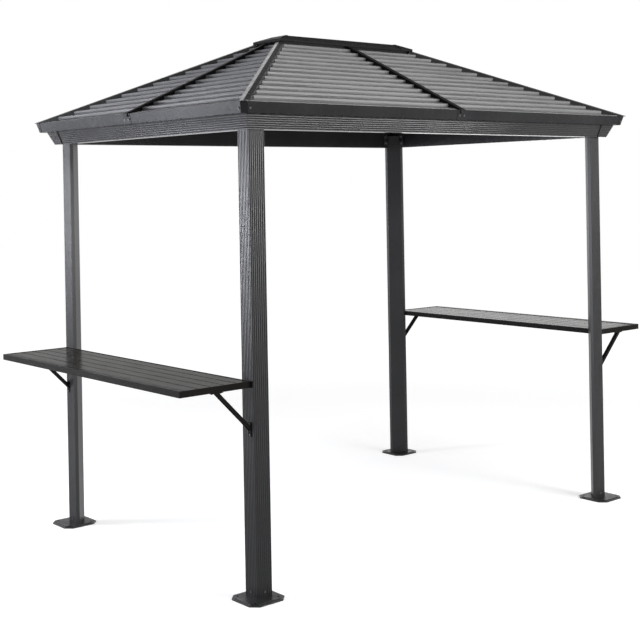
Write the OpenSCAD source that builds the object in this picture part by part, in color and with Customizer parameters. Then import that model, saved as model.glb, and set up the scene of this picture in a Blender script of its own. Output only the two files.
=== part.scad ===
// Metal gazebo with a hipped lapped-sheet roof and a serving shelf at each end.
// Frame: +X along the roof ridge, +Y to the back, +Z up, origin on the ground under the ridge's middle.

/* [Frame] */
// Outside length over the posts, along the ridge
bay_l = 2254; // [1800:1:3000]
// Outside width over the posts
bay_w = 1524; // [1300:1:2000]
// Clear height under the ring beams
beam_z = 1858; // [1700:1:2300]

/* [Posts] */
// Width of each fluted face of the corner post
post_leg = 75; // [65:0.5:110]
// Width of the narrow faces between the fluted faces and the slanted inner face
post_t = 18; // [15:0.5:24]
// Height of the post's head inside the corner of the ring beams
post_head_h = 72; // [50:1:90]
// Wall of the hollow post extrusion
post_wall = 2.5; // [1.5:0.1:3]
// Radius of the post's outer corner
post_round = 5; // [2:0.5:7]
// Number of flutes on each outer face
post_flutes = 7; // [3:1:8]
// Width of each flute at the face
post_flute_w = 6.5; // [3:0.25:7.5]
// Depth of the flutes
flute_d = 2.5; // [1:0.1:3]

/* [Foot plates] */
// Side of the square foot plate
foot_size = 175; // [160:1:230]
// How far the plate stands out past the post's outer faces
foot_out = 68; // [50:1:80]
// Length cut off each corner of the plate
foot_cut = 30; // [10:1:36]
// Thickness of the plate's border
foot_t = 6; // [4:0.5:10]
// Height of the raised pad inside the border
pad_t = 3; // [2:0.5:5]
// Width of the plate's low border
border_w = 11; // [8:0.5:16]
// Diameter of the anchor holes
anchor_d = 11; // [8:0.5:14]
// Spacing of the anchor holes, both ways
anchor_pitch = 115; // [100:1:122]
// Height of the angle inside the post that holds it
socket_h = 60; // [40:1:90]
// Leg of the angle inside the post
socket_leg = 46; // [36:1:54]
// Thickness of the angle inside the post
socket_t = 4; // [3:0.5:6]

/* [Ring beams] */
// How far the beam's lower edge stands out past the posts
beam_low_out = 23; // [16:0.5:32]
// How far the top of the fluted face stands out past the posts
beam_high_out = 50; // [42:0.5:60]
// Height of the fluted face
beam_face_h = 60; // [50:0.5:80]
// Height of the beam's upright part
beam_h = 100; // [90:0.5:104]
// How far the upright part stands out past the posts
beam_step_out = 20; // [12:0.5:26]
// Wall of the hollow beam extrusion
beam_wall = 2.5; // [2:0.1:3.5]
// How far the inner face lies inside the post's inner face
beam_inset = 2; // [0:0.5:6]
// Number of flutes up the beam's face
beam_flutes = 7; // [4:1:8]
// Share of each flute's height that stands upright
beam_flute_share = 0.42; // [0.3:0.01:0.7]
// Thickness of the corner covers, measured level
cover_t = 4; // [3.5:0.25:5]
// Length of the corner covers on each side, in from the post's corner
cover_leg = 45; // [30:1:75]
// Length of the brackets on the beams, beside the post's head
bracket_leg = 36; // [24:1:60]
// Gap between the brackets and the post's head
bracket_gap = 2; // [1:0.25:6]
// Height of the brackets on the beams
bracket_h = 68; // [40:1:74]
// Thickness of the brackets on the beams
bracket_t = 8; // [4:0.5:12]
// Height of the brackets above the beam's underside
bracket_rise = 14; // [8:1:20]

/* [Fascia] */
// How far the fascia's lower edge stands out past the posts
fascia_low_out = 85; // [75:0.5:88]
// How far the eave edge stands out past the posts
eave_out = 97; // [90:0.5:120]
// Height of the eave edge above the beam's underside
eave_rise = 104; // [104:0.5:125]
// Thickness of the fascia sheet
fascia_t = 2; // [1.5:0.1:3]
// Thickness of the folded lip above the sheets, measured level
fascia_lip = 4; // [3:0.25:6]
// Inner end of the flange under the sheets, measured level from the eave edge
fascia_flange = 40; // [34:0.5:46]
// Inner end of the fascia's lower flange, out from the posts
fascia_seat_out = 25; // [24:0.5:32]
// Gap between the two halves of each fascia
fascia_joint = 1; // [0.5:0.1:3]
// Length cut off each side at the fascia's corners
fascia_cut = 20; // [12:0.5:28]
// Length of each side of the fascia's corner caps, from the uncut corner
fascia_cap_len = 52; // [36:1:70]
// Width of the plates over the fascia joints
joint_plate_w = 56; // [40:1:90]
// Thickness of the corner caps and joint plates, measured level
fascia_skin = 1.5; // [1:0.1:3]

/* [Roof] */
// How far the roof's planes start below the eave edge
roof_drop = 23; // [20:0.5:27]
// Rise of the roof's planes from the eave to the ridge cap's edge
roof_rise = 358; // [250:1:450]
// Number of steps in the lapped sheets
courses = 14; // [9:1:16]
// Height of the step at the foot of each course
course_step = 14.5; // [10:0.5:20]
// Height of the undercut hem at the foot of each step
course_hem = 6; // [3:0.5:8]
// Depth of that undercut
course_undercut = 2; // [1:0.25:2.5]
// Share of a course between the eave edge and the lowest step
first_share = 0.34; // [0.3:0.01:0.6]
// Share of a course between the highest step and the ridge cap's edge
last_share = 0.46; // [0.3:0.01:0.6]
// Share of a course between the eave edge and the sheets' lower edge
edge_share = 0.2; // [0.16:0.01:0.26]
// Thickness of the roof sheet
sheet_t = 2; // [1.5:0.1:3]
// How far the sheets reach under the ridge cap, measured level
sheet_under_cap = 36; // [20:1:42]
// Width of the hip caps
hip_cap_w = 38; // [32:1:60]
// Width of the caps over the middle rafters
rib_cap_w = 28; // [22:1:44]
// Height of the caps above the rafters
cap_h = 26; // [24:0.5:40]
// Thickness of the hip and rib caps
cap_t = 2; // [1.5:0.1:3]
// Height of the rib caps' ends, bent down over the fascia
rib_end_h = 16; // [10:0.5:24]
// Gap between a roof sheet and the cap beside it
sheet_clear = 1; // [0.5:0.1:3]
// Width of the rafter tubes
rafter_w = 36; // [28:1:50]
// Depth of the rafter tubes below the sheets, measured upright
rafter_h = 42; // [42:1:60]
// Width of the flange that carries the sheets, each side of a cap
wing_w = 14; // [8:0.5:20]
// Thickness of that flange
wing_t = 3; // [2:0.5:5]

/* [Ridge] */
// Length of the ridge cap's lower edge
ridge_l = 880; // [700:1:1100]
// Width of the ridge cap's lower edge
ridge_w = 210; // [180:1:260]
// How far the flat top's ends lie inside the ridge cap's ends
ridge_top_in = 77; // [50:1:110]
// Width of the ridge cap's flat top
ridge_top_w = 112; // [80:1:140]
// Height of the ridge cap
ridge_cap_h = 37; // [32:0.5:60]
// Height of the upright hem along the ridge cap's edge
ridge_hem = 12; // [6:0.5:16]
// Gap under the ridge cap's edge, above the roof line
ridge_gap = 26; // [24:0.5:36]
// Thickness of the ridge cap
ridge_t = 2; // [1.5:0.1:3]
// Length of the ridge cap's end pieces
ridge_end_l = 85; // [70:1:120]
// How far the end pieces lap over the middle piece
ridge_lap = 20; // [10:1:30]
// Width of the ridge beam
ridge_beam_w = 50; // [40:1:60]
// Depth of the ridge beam
ridge_beam_h = 60; // [56:1:90]
// How far the ridge beam's ends lie inside the ridge cap's ends
ridge_beam_in = 55; // [40:1:70]
// Thickness of the rib that carries the ridge cap
ridge_rib_t = 8; // [4:0.5:14]
// How far that rib's ends lie inside the ridge beam's ends
ridge_rib_in = 40; // [30:1:80]

/* [Shelves] */
// Height of the shelf's top
shelf_z = 865; // [700:1:1100]
// How far the shelf stands out from the posts
shelf_d = 337; // [300:1:420]
// How far the shelf's ends lie inside the posts' outer faces
shelf_in = 15; // [5:0.5:25]
// Height of the shelf's edge
apron_h = 26; // [22:0.5:40]
// Thickness of the end and back edges
apron_t = 5; // [3:0.5:8]
// Width of the front edge's flat top
front_rail_w = 30; // [20:0.5:36]
// Number of slats
slats = 5; // [4:1:6]
// Gap between slats
slat_gap = 5; // [2:0.5:8]
// Depth of the slats
slat_h = 12; // [8:0.5:13]
// Wall of the slats
slat_wall = 2; // [1.5:0.1:3]
// How far the slats lie below the edge
slat_drop = 1.5; // [0:0.25:3]
// Width of the bars under the slats
bearer_w = 24; // [16:0.5:30]
// Width of the struts under the shelf
strut_w = 18; // [14:0.5:22]
// Depth of the struts under the shelf
strut_d = 14; // [10:0.5:20]
// Wall of the strut channel
strut_wall = 2; // [1.5:0.1:3]
// Thickness of the clips that hold the shelf's ends to the posts
clip_t = 3; // [2:0.5:5]
// How far out the struts meet the shelf
strut_out = 166; // [120:1:190]
// Length of the strut's fixing plates
tab_l = 56; // [40:1:70]
// Thickness of the strut's fixing plates
tab_t = 3; // [2:0.5:5]

/* [Hidden] */
$fn = 48;
frame_color = "#3b3b3e";
sheet_color = "#84868a";
slat_color = "#6d6a69";

// Half sizes of the frame, the eaves and the ridge cap
hx = bay_l / 2;
hy = bay_w / 2;
eave_x = hx + eave_out;
eave_y = hy + eave_out;
eave_z = beam_z + eave_rise;
roof_z = eave_z - roof_drop;
ridge_x = ridge_l / 2;
ridge_y = ridge_w / 2;

// Level runs of the roof from the eave to the ridge cap, over the sides and over the ends
run_side = eave_y - ridge_y;
run_end = eave_x - ridge_x;
run_hip = norm([run_side, run_end]);
slope_side = roof_rise / run_side;
slope_end = roof_rise / run_end;

// Sizes of the roof's top pieces
ridge_z = roof_z + roof_rise + ridge_gap;
ridge_top_z = ridge_z + ridge_cap_h;
ridge_mid_x = ridge_x - ridge_end_l;
ridge_beam_x = ridge_x - ridge_beam_in;
ridge_beam_y = ridge_beam_w / 2;
ridge_beam_z = roof_z + slope_side * (eave_y - ridge_beam_y) - wing_t;

// Room left beyond the object by the bodies that cut other bodies
spare = 400;
sky = eave_z + 2 * roof_rise;
// Small extra reach of a cut past the face that it opens
cut = 1;
// Degrees between the points of a rounded corner
arc_step = 15;

post_z = foot_t + pad_t;
post_slant = post_leg + post_t;
socket_at = post_wall + flute_d;
beam_in = post_t + beam_inset;
anchor_r = anchor_d / 2;
hip_half = hip_cap_w / 2;
rib_half = rib_cap_w / 2;
shelf_l = bay_w - 2 * shelf_in;
shelf_low = shelf_z - apron_h;
slat_top = shelf_z - slat_drop;
bearer_top = slat_top - slat_h;
slat_pitch = (shelf_d - apron_t - front_rail_w) / slats;
bearer_y = shelf_l / 2 - apron_t - bearer_w / 2;
strut_y = shelf_l / 2 - strut_w / 2;
clip_leg = shelf_in - post_round;

// Shared shapes and placing

// Points from p to q with V-shaped flutes sunk to the left of the way from p to q
function fluted(p, q, count, width, depth) =
    let (
        len = norm(q - p),
        dir = (q - p) / len,
        inward = [-dir[1], dir[0]],
        pitch = len / count
    )
    concat(
        [p],
        [for (i = [0:count - 1]) let (mid = p + dir * pitch * (i + 0.5)) each [
            mid - dir * width / 2,
            mid + inward * depth,
            mid + dir * width / 2
        ]],
        [q]
    );

// Points up a leaning face from p to q, in flutes with an upright face and a slanted underside
function stepped(p, q, count, share) =
    let (flute = (q - p) / count)
    concat(
        [for (i = [0:count - 1]) let (low = p + i * flute) each [low, low + [0, share * flute[1]]]],
        [q]
    );

// Point beside the hip's plan line: along it from the eave corner, and off it to the left
function hip_point(along, off) = [
    eave_x - along * run_end / run_hip - off * run_side / run_hip,
    eave_y - along * run_side / run_hip + off * run_end / run_hip
];

// Where a line beside the hip crosses a given y, or a given x
function hip_x(y, off) = eave_x - (eave_y - y) * run_end / run_side - off * run_hip / run_side;
function hip_y(x, off) = eave_y - (eave_x - x) * run_side / run_end - off * run_hip / run_end;

// Upright prism on a plan outline
module prism(points, low, high) {
    translate([0, 0, low])
        linear_extrude(height = high - low)
            polygon(points);
}

// Box between two corners
module box(low, high) {
    translate(low)
        cube(high - low);
}

// The back right corner's piece, moved to another corner
module corner(x_sign, y_sign) {
    mirror([x_sign < 0 ? 1 : 0, 0, 0])
        mirror([0, y_sign < 0 ? 1 : 0, 0])
            children();
}

// A section of [out from the posts, up from the beam's underside], run along the back or the right side
module back_run(section) {
    translate([0, hy, beam_z])
        rotate([90, 0, 90])
            linear_extrude(height = 2 * (hx + spare), center = true)
                polygon(section);
}

module right_run(section) {
    translate([hx, 0, beam_z])
        rotate([90, 0, 0])
            linear_extrude(height = 2 * (hy + spare), center = true)
                polygon(section);
}

// Everything under the roof's planes, raised or lowered upright
module under_roof(up) {
    intersection() {
        rotate([90, 0, 90])
            linear_extrude(height = 2 * (eave_x + spare), center = true)
                polygon([
                    [-eave_y - spare, roof_z + up - spare * slope_side],
                    [-eave_y - spare, -spare],
                    [eave_y + spare, -spare],
                    [eave_y + spare, roof_z + up - spare * slope_side],
                    [0, roof_z + up + eave_y * slope_side]
                ]);
        rotate([90, 0, 0])
            linear_extrude(height = 2 * (eave_y + spare), center = true)
                polygon([
                    [-eave_x - spare, roof_z + up - spare * slope_end],
                    [-eave_x - spare, -spare],
                    [eave_x + spare, -spare],
                    [eave_x + spare, roof_z + up - spare * slope_end],
                    [0, roof_z + up + eave_x * slope_end]
                ]);
    }
}

// Posts and foot plates

// The post's section from its outer corner inwards: two fluted faces and a slanted face inside
function post_outline() = concat(
    fluted([0, post_leg], [0, post_round], post_flutes, post_flute_w, flute_d),
    [for (a = [180 + arc_step:arc_step:270 - arc_step]) [post_round, post_round] + post_round * [cos(a), sin(a)]],
    fluted([post_round, 0], [post_leg, 0], post_flutes, post_flute_w, flute_d),
    [[post_leg, post_t], [post_t, post_leg]]
);

function post_hollow() =
    let (
        outer = post_wall + flute_d,
        end = post_leg - post_wall,
        inner = post_slant - post_wall * sqrt(2) - end
    )
    [[outer, outer], [end, outer], [end, inner], [inner, end], [outer, end]];

// The post's head inside the ring's corner, behind the same slanted face, made smaller by a wall
function post_head(wall) =
    let (at = beam_in + wall, end = post_slant - wall * sqrt(2) - at)
    [[at, at], [end, at], [at, end]];

module post() {
    color(frame_color)
        translate([hx, hy, 0])
            rotate([0, 0, 180])
                difference() {
                    union() {
                        prism(post_outline(), post_z, beam_z);
                        prism(post_head(0), post_z, beam_z + post_head_h);
                    }
                    prism(post_hollow(), post_z - cut, beam_z);
                    prism(post_head(post_wall), beam_z - cut, beam_z + post_head_h + cut);
                }
}

// A square outline with its corners cut off
function cut_square(size, corner_cut) =
    let (h = size / 2, c = size / 2 - corner_cut)
    [[h, -c], [h, c], [c, h], [-c, h], [-h, c], [-h, -c], [-c, -h], [c, -h]];

module foot() {
    plate_at = foot_size / 2 - foot_out;
    socket_end = socket_at + socket_leg;
    color(frame_color)
        translate([hx, hy, 0])
            rotate([0, 0, 180]) {
                difference() {
                    translate([plate_at, plate_at, 0]) {
                        linear_extrude(height = foot_t)
                            polygon(cut_square(foot_size, foot_cut));
                        linear_extrude(height = foot_t + pad_t)
                            polygon(cut_square(foot_size - 2 * border_w, foot_cut - border_w / 2));
                    }
                    for (x = [-1, 1], y = [-1, 1])
                        translate([plate_at + x * anchor_pitch / 2, plate_at + y * anchor_pitch / 2, -cut])
                            cylinder(h = foot_t + pad_t + 2 * cut, r = anchor_r);
                }
                prism([
                    [socket_at, socket_at],
                    [socket_end, socket_at],
                    [socket_end, socket_at + socket_t],
                    [socket_at + socket_t, socket_at + socket_t],
                    [socket_at + socket_t, socket_end],
                    [socket_at, socket_end]
                ], foot_t, post_z + socket_h);
            }
}

// Ring beams

function beam_outline() = concat(
    [[-beam_in, 0]],
    stepped([beam_low_out, 0], [beam_high_out, beam_face_h], beam_flutes, beam_flute_share),
    [
        [beam_step_out, beam_face_h],
        [beam_step_out, beam_h],
        [-beam_in, beam_h]
    ]
);

function beam_hollow() =
    let (skin = beam_wall + beam_flute_share * (beam_high_out - beam_low_out) / beam_flutes + cut)
    [
        [-beam_in + beam_wall, beam_wall],
        [beam_low_out - skin, beam_wall],
        [beam_high_out - skin, beam_face_h - beam_wall],
        [beam_step_out - beam_wall, beam_face_h - beam_wall],
        [beam_step_out - beam_wall, beam_h - beam_wall],
        [-beam_in + beam_wall, beam_h - beam_wall]
    ];

// Plan of the back side's share of a ring, mitred at the corners
function back_mitre() = [
    [-hx - spare, hy + spare], [-hx + hy, 0], [hx - hy, 0], [hx + spare, hy + spare]
];

function right_mitre() = [[hx + spare, hy + spare], [hx - hy, 0], [hx + spare, -hy - spare]];

module back_mitred(section) {
    intersection() {
        back_run(section);
        prism(back_mitre(), 0, beam_z + spare);
    }
}

module right_mitred(section) {
    intersection() {
        right_run(section);
        prism(right_mitre(), 0, beam_z + spare);
    }
}

module long_beam() {
    color(frame_color)
        difference() {
            back_mitred(beam_outline());
            back_run(beam_hollow());
        }
}

module end_beam() {
    color(frame_color)
        difference() {
            right_mitred(beam_outline());
            right_run(beam_hollow());
        }
}

// A block's section from a start out to a leaning face, carried past both ends of the face
function lean_section(start, low, high, past) =
    let (lean = (high - low) * past / (high[1] - low[1]))
    [[start - past, low[1] - past], low - lean, high + lean, [start - past, high[1] + past]];

// A block at a ring's corner with the same section on both sides
module corner_block(section) {
    intersection() {
        back_run(section);
        right_run(section);
    }
}

module corner_cover() {
    outer = concat(
        [[-cover_leg, 0]],
        stepped([beam_low_out + cover_t, 0], [beam_high_out + cover_t, beam_face_h],
                beam_flutes, beam_flute_share),
        [[-cover_leg, beam_face_h]]
    );
    color(frame_color)
        difference() {
            corner_block(outer);
            corner_block(lean_section(-cover_leg, [beam_low_out, 0], [beam_high_out, beam_face_h], cut));
        }
}

// Two brackets at a corner, one on each beam's inner face beside the post's head
module corner_bracket() {
    start = post_slant - beam_in + bracket_gap;
    end = start + bracket_leg;
    color(frame_color)
        translate([hx, hy, beam_z + bracket_rise])
            rotate([0, 0, 180]) {
                box([start, beam_in, 0], [end, beam_in + bracket_t, bracket_h]);
                box([beam_in, start, 0], [beam_in + bracket_t, end, bracket_h]);
            }
}

// Fascia

// Where the fascia's face, set in by a wall, meets the roof's plane, lowered by a drop
function fascia_meet(slope, wall, drop) =
    let (
        lean = (eave_out - fascia_low_out) / (eave_rise - beam_face_h),
        level = eave_rise - roof_drop - drop,
        reach = eave_out - fascia_low_out + wall + lean * beam_face_h,
        up = (level + slope * reach) / (1 + slope * lean)
    )
    [fascia_low_out - wall + lean * (up - beam_face_h), up];

// The fascia's bent sheet: lower flange, slanted face with a folded lip, and a flange under the sheets
function fascia_outline(slope) =
    let (
        flange_end = eave_out - fascia_flange,
        flange_up = eave_rise - roof_drop + fascia_flange * slope
    )
    [
        [fascia_seat_out, beam_face_h],
        [fascia_low_out, beam_face_h],
        [eave_out, eave_rise],
        [eave_out - fascia_lip, eave_rise],
        fascia_meet(slope, fascia_lip, 0),
        [flange_end, flange_up],
        [flange_end, flange_up - fascia_t],
        fascia_meet(slope, fascia_t, fascia_t),
        [fascia_low_out - fascia_t, beam_face_h + fascia_t],
        [fascia_seat_out, beam_face_h + fascia_t]
    ];

// Room of the fascia's lip along the back and the right side, which the caps stop short of
module fascia_room() {
    inner = fascia_lip + sheet_clear;
    section = [
        [fascia_low_out - inner, beam_face_h],
        [eave_out + spare, beam_face_h],
        [eave_out + spare, eave_rise],
        [eave_out - inner, eave_rise]
    ];
    back_run(section);
    right_run(section);
    corner_room(-inner);
}

// Room outside the slanted face that cuts the fascia's corner, moved outwards by a skin
module corner_room(skin) {
    in = fascia_cut / sqrt(2) - skin;
    low = fascia_low_out * sqrt(2) - in;
    high = eave_out * sqrt(2) - in;
    lean = (high - low) / (eave_rise - beam_face_h);
    translate([hx, hy, beam_z])
        rotate([0, 0, 45])
            rotate([90, 0, 0])
                linear_extrude(height = spare, center = true)
                    polygon([
                        [low - cut * lean, beam_face_h - cut],
                        [low + spare, beam_face_h - cut],
                        [high + spare, eave_rise + cut],
                        [high + cut * lean, eave_rise + cut]
                    ]);
}

function fascia_skin_outline() = [
    [fascia_low_out, beam_face_h],
    [fascia_low_out + fascia_skin, beam_face_h],
    [eave_out + fascia_skin, eave_rise],
    [eave_out, eave_rise]
];

module long_fascia() {
    color(frame_color)
        difference() {
            back_mitred(fascia_outline(slope_side));
            box([-fascia_joint / 2, 0, 0], [fascia_joint / 2, hy + spare, beam_z + spare]);
            for (s = [-1, 1])
                corner(s, 1)
                    corner_room(0);
        }
}

module end_fascia() {
    color(frame_color)
        difference() {
            right_mitred(fascia_outline(slope_end));
            box([0, -fascia_joint / 2, 0], [hx + spare, fascia_joint / 2, beam_z + spare]);
            for (s = [-1, 1])
                corner(1, s)
                    corner_room(0);
        }
}

// A skin on each side of a corner and on the slanted face that cuts it
module fascia_corner_cap() {
    start = eave_out - fascia_cap_len;
    low = [fascia_low_out, beam_face_h];
    high = [eave_out, eave_rise];
    skin = [fascia_skin, 0];
    color(frame_color)
        difference() {
            corner_block(lean_section(start, low + skin, high + skin, 0));
            corner_room(fascia_skin);
            difference() {
                corner_block(lean_section(start, low, high, cut));
                corner_room(0);
            }
        }
}

module fascia_joint_plates() {
    half = joint_plate_w / 2;
    color(frame_color)
        for (s = [-1, 1]) {
            corner(1, s)
                intersection() {
                    back_run(fascia_skin_outline());
                    box([-half, 0, 0], [half, hy + spare, beam_z + spare]);
                }
            corner(s, 1)
                intersection() {
                    right_run(fascia_skin_outline());
                    box([0, -half, 0], [hx + spare, half, beam_z + spare]);
                }
        }
}

// Roof

// A lapped sheet's section, as [in from the eave, up from the roof's plane there]
function lapped_outline(slope, run) =
    let (
        pitch = run / (courses - 1 + first_share + last_share),
        lift = sheet_t * (1 + slope) + course_undercut * slope,
        tread = (pitch * slope - course_step) / (pitch + course_undercut),
        feet = [for (i = [0:courses - 1]) (first_share + i) * pitch],
        steps = [for (in = feet) let (up = in * slope + lift) each [
            [in + course_undercut, up], [in, up + course_hem], [in, up + course_step]
        ]],
        edge = steps[0] - (first_share - edge_share) * pitch * [1, tread],
        last = steps[len(steps) - 1] + 2 * pitch * [1, tread],
        face = concat([edge], steps, [last])
    )
    concat(face, [for (i = [len(face) - 1:-1:0]) face[i] + [sheet_t, -sheet_t]]);

module back_sheets() {
    off = hip_half + sheet_clear;
    middle = rib_half + sheet_clear;
    top = ridge_y - sheet_under_cap;
    color(sheet_color)
        for (s = [-1, 1])
            corner(s, 1)
                intersection() {
                    translate([0, eave_y, roof_z])
                        rotate([90, 0, 90])
                            mirror([1, 0, 0])
                                linear_extrude(height = eave_x)
                                    polygon(lapped_outline(slope_side, run_side));
                    prism([
                        [middle, eave_y], [middle, top], [hip_x(top, off), top], [hip_x(eave_y, off), eave_y]
                    ], roof_z - spare, sky);
                }
}

module right_sheets() {
    off = hip_half + sheet_clear;
    middle = rib_half + sheet_clear;
    top = ridge_x - sheet_under_cap * run_end / run_side;
    color(sheet_color)
        for (s = [-1, 1])
            corner(1, s)
                intersection() {
                    translate([eave_x, eave_y, roof_z])
                        rotate([90, 0, 0])
                            mirror([1, 0, 0])
                                linear_extrude(height = eave_y)
                                    polygon(lapped_outline(slope_end, run_end));
                    prism([
                        [eave_x, middle], [eave_x, hip_y(eave_x, off)], [top, hip_y(top, off)], [top, middle]
                    ], roof_z - spare, sky);
                }
}

// Plan strips over the hip and over the two middle lines
module hip_strip(half) {
    start = -spare / 2;
    end = run_hip * eave_y / run_side + spare / 2;
    prism([
        hip_point(start, -half), hip_point(start, half), hip_point(end, half), hip_point(end, -half)
    ], -spare, sky);
}

module back_strip(half) {
    box([-half, 0, -spare], [half, eave_y, sky]);
}

module right_strip(half) {
    box([0, -half, -spare], [eave_x, half, sky]);
}

// Room taken by the ridge cap, which the hip and rib caps stop short of
module ridge_room() {
    box([-ridge_x - sheet_clear, -ridge_y - sheet_clear, 0],
        [ridge_x + sheet_clear, ridge_y + sheet_clear, sky]);
}

module hip_cap() {
    color(frame_color)
        difference() {
            intersection() {
                hip_strip(hip_half);
                under_roof(cap_h);
                box([0, 0, 0], [eave_x, eave_y, sky]);
            }
            under_roof(0);
            intersection() {
                hip_strip(hip_half - cap_t);
                under_roof(cap_h - cap_t);
            }
            fascia_room();
            ridge_room();
        }
}

// The end of a rib cap, bent down in front of the fascia's joint plate, as a section for a run
function rib_end_outline() =
    let (
        top = eave_rise - roof_drop + cap_h,
        face = eave_out + fascia_skin + sheet_clear
    )
    [
        [eave_out - fascia_lip, top - cap_t],
        [face, top - cap_t],
        [face, eave_rise - rib_end_h],
        [face + cap_t, eave_rise - rib_end_h],
        [face + cap_t, top],
        [eave_out - fascia_lip, top]
    ];

module rib_caps() {
    color(frame_color)
        for (s = [-1, 1]) {
            corner(1, s) {
                difference() {
                    intersection() {
                        back_strip(rib_half);
                        under_roof(cap_h);
                    }
                    under_roof(0);
                    intersection() {
                        translate([0, cut, 0])
                            back_strip(rib_half - cap_t);
                        under_roof(cap_h - cap_t);
                    }
                    fascia_room();
                    ridge_room();
                }
                intersection() {
                    back_run(rib_end_outline());
                    box([-rib_half, 0, 0], [rib_half, eave_y + spare, sky]);
                }
            }
            corner(s, 1) {
                difference() {
                    intersection() {
                        right_strip(rib_half);
                        under_roof(cap_h);
                    }
                    under_roof(0);
                    intersection() {
                        translate([cut, 0, 0])
                            right_strip(rib_half - cap_t);
                        under_roof(cap_h - cap_t);
                    }
                    fascia_room();
                    ridge_room();
                }
                intersection() {
                    right_run(rib_end_outline());
                    box([0, -rib_half, 0], [eave_x + spare, rib_half, sky]);
                }
            }
        }
}

// The beams' room that a rafter's foot is cut to sit on, and the room outside it
module beam_seat() {
    box([hx - beam_in, -hy - spare, -spare], [hx + spare, hy + spare, beam_z + beam_h]);
    box([-hx - spare, hy - beam_in, -spare], [hx + spare, hy + spare, beam_z + beam_h]);
    box([hx + beam_step_out, -hy - spare, 0], [hx + spare, hy + spare, sky]);
    box([-hx - spare, hy + beam_step_out, 0], [hx + spare, hy + spare, sky]);
}

// Room of the ridge beam between the rafters
module ridge_beam_room() {
    box([-ridge_beam_x, -ridge_beam_y, 0], [ridge_beam_x, ridge_beam_y, sky]);
}

module hip_rafter() {
    difference() {
        union() {
            intersection() {
                hip_strip(rafter_w / 2);
                under_roof(0);
            }
            difference() {
                intersection() {
                    hip_strip(hip_half + wing_w);
                    under_roof(0);
                }
                under_roof(-wing_t);
            }
        }
        under_roof(-rafter_h);
        beam_seat();
        box([-eave_x, -eave_y, 0], [eave_x + spare, ridge_beam_y, sky]);
    }
}

module hip_rafters() {
    color(frame_color)
        for (x = [-1, 1], y = [-1, 1])
            corner(x, y)
                hip_rafter();
}

module middle_rafters() {
    color(frame_color)
        for (s = [-1, 1]) {
            corner(1, s)
                difference() {
                    union() {
                        intersection() {
                            back_strip(rafter_w / 2);
                            under_roof(0);
                        }
                        difference() {
                            intersection() {
                                back_strip(rib_half + wing_w);
                                under_roof(0);
                            }
                            under_roof(-wing_t);
                        }
                    }
                    under_roof(-rafter_h);
                    beam_seat();
                    ridge_beam_room();
                }
            corner(s, 1)
                difference() {
                    union() {
                        intersection() {
                            right_strip(rafter_w / 2);
                            under_roof(0);
                        }
                        difference() {
                            intersection() {
                                right_strip(rib_half + wing_w);
                                under_roof(0);
                            }
                            under_roof(-wing_t);
                        }
                    }
                    under_roof(-rafter_h);
                    beam_seat();
                    box([0, -eave_y, 0], [ridge_beam_x, eave_y, sky]);
                    for (y = [-1, 1])
                        corner(1, y)
                            hip_strip(hip_half + wing_w);
                }
        }
}

// Ridge

module ridge_beam() {
    color(frame_color) {
        box([-ridge_beam_x, -ridge_beam_y, ridge_beam_z - ridge_beam_h],
            [ridge_beam_x, ridge_beam_y, ridge_beam_z]);
        box([-ridge_beam_x + ridge_rib_in, -ridge_rib_t / 2, ridge_beam_z - cut],
            [ridge_beam_x - ridge_rib_in, ridge_rib_t / 2, ridge_top_z - 2 * ridge_t]);
    }
}

// Half of the ridge cap's section, made smaller by a wall: hem, slope and flat top
function ridge_half(half, top_half, wall, low) =
    let (
        across = half - top_half,
        up = ridge_cap_h - ridge_hem,
        slant = norm([across, up])
    )
    [
        [half - wall, low],
        [half - wall, ridge_z + ridge_hem - wall * (slant - up) / across],
        [top_half - wall * (slant - across) / up, ridge_top_z - wall]
    ];

function both_halves(points) = concat(points, [for (i = [len(points) - 1:-1:0]) [-points[i][0], points[i][1]]]);

// A hipped block on the ridge cap's outline, made smaller by a wall, from a low level up
module ridge_block(wall, low) {
    intersection() {
        rotate([90, 0, 90])
            linear_extrude(height = ridge_l, center = true)
                polygon(both_halves(ridge_half(ridge_y, ridge_top_w / 2, wall, low)));
        rotate([90, 0, 0])
            linear_extrude(height = ridge_w, center = true)
                polygon(both_halves(ridge_half(ridge_x, ridge_x - ridge_top_in, wall, low)));
    }
}

// The middle piece lies inside the end pieces by their thickness
module ridge_cap() {
    reach = ridge_mid_x + ridge_lap;
    color(frame_color)
        intersection() {
            difference() {
                ridge_block(ridge_t, ridge_z);
                ridge_block(2 * ridge_t, ridge_z - cut);
            }
            box([-reach, -ridge_w, 0], [reach, ridge_w, sky]);
        }
}

module ridge_end_caps() {
    color(frame_color)
        for (s = [-1, 1])
            corner(s, 1)
                intersection() {
                    difference() {
                        ridge_block(0, ridge_z);
                        ridge_block(ridge_t, ridge_z - cut);
                    }
                    box([ridge_mid_x, -ridge_w, 0], [ridge_l, ridge_w, sky]);
                }
}

// Shelves

module shelf_frame() {
    half = shelf_l / 2;
    color(frame_color)
        translate([hx, 0, 0]) {
            difference() {
                box([0, -half, shelf_low], [shelf_d, half, shelf_z]);
                box([apron_t, -half + apron_t, shelf_low - cut],
                    [shelf_d - front_rail_w, half - apron_t, shelf_z + cut]);
            }
            for (y = [-bearer_y, 0, bearer_y])
                box([apron_t / 2, y - bearer_w / 2, shelf_low],
                    [shelf_d - front_rail_w / 2, y + bearer_w / 2, bearer_top]);
        }
}

module shelf_slats() {
    half = shelf_l / 2 - apron_t;
    width = slat_pitch - slat_gap;
    color(slat_color)
        for (i = [0:slats - 1])
            translate([hx + apron_t + i * slat_pitch + slat_gap / 2, 0, 0])
                difference() {
                    box([0, -half, bearer_top], [width, half, slat_top]);
                    box([slat_wall, -half - cut, bearer_top - cut],
                        [width - slat_wall, half + cut, slat_top - slat_wall]);
                }
}

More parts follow.
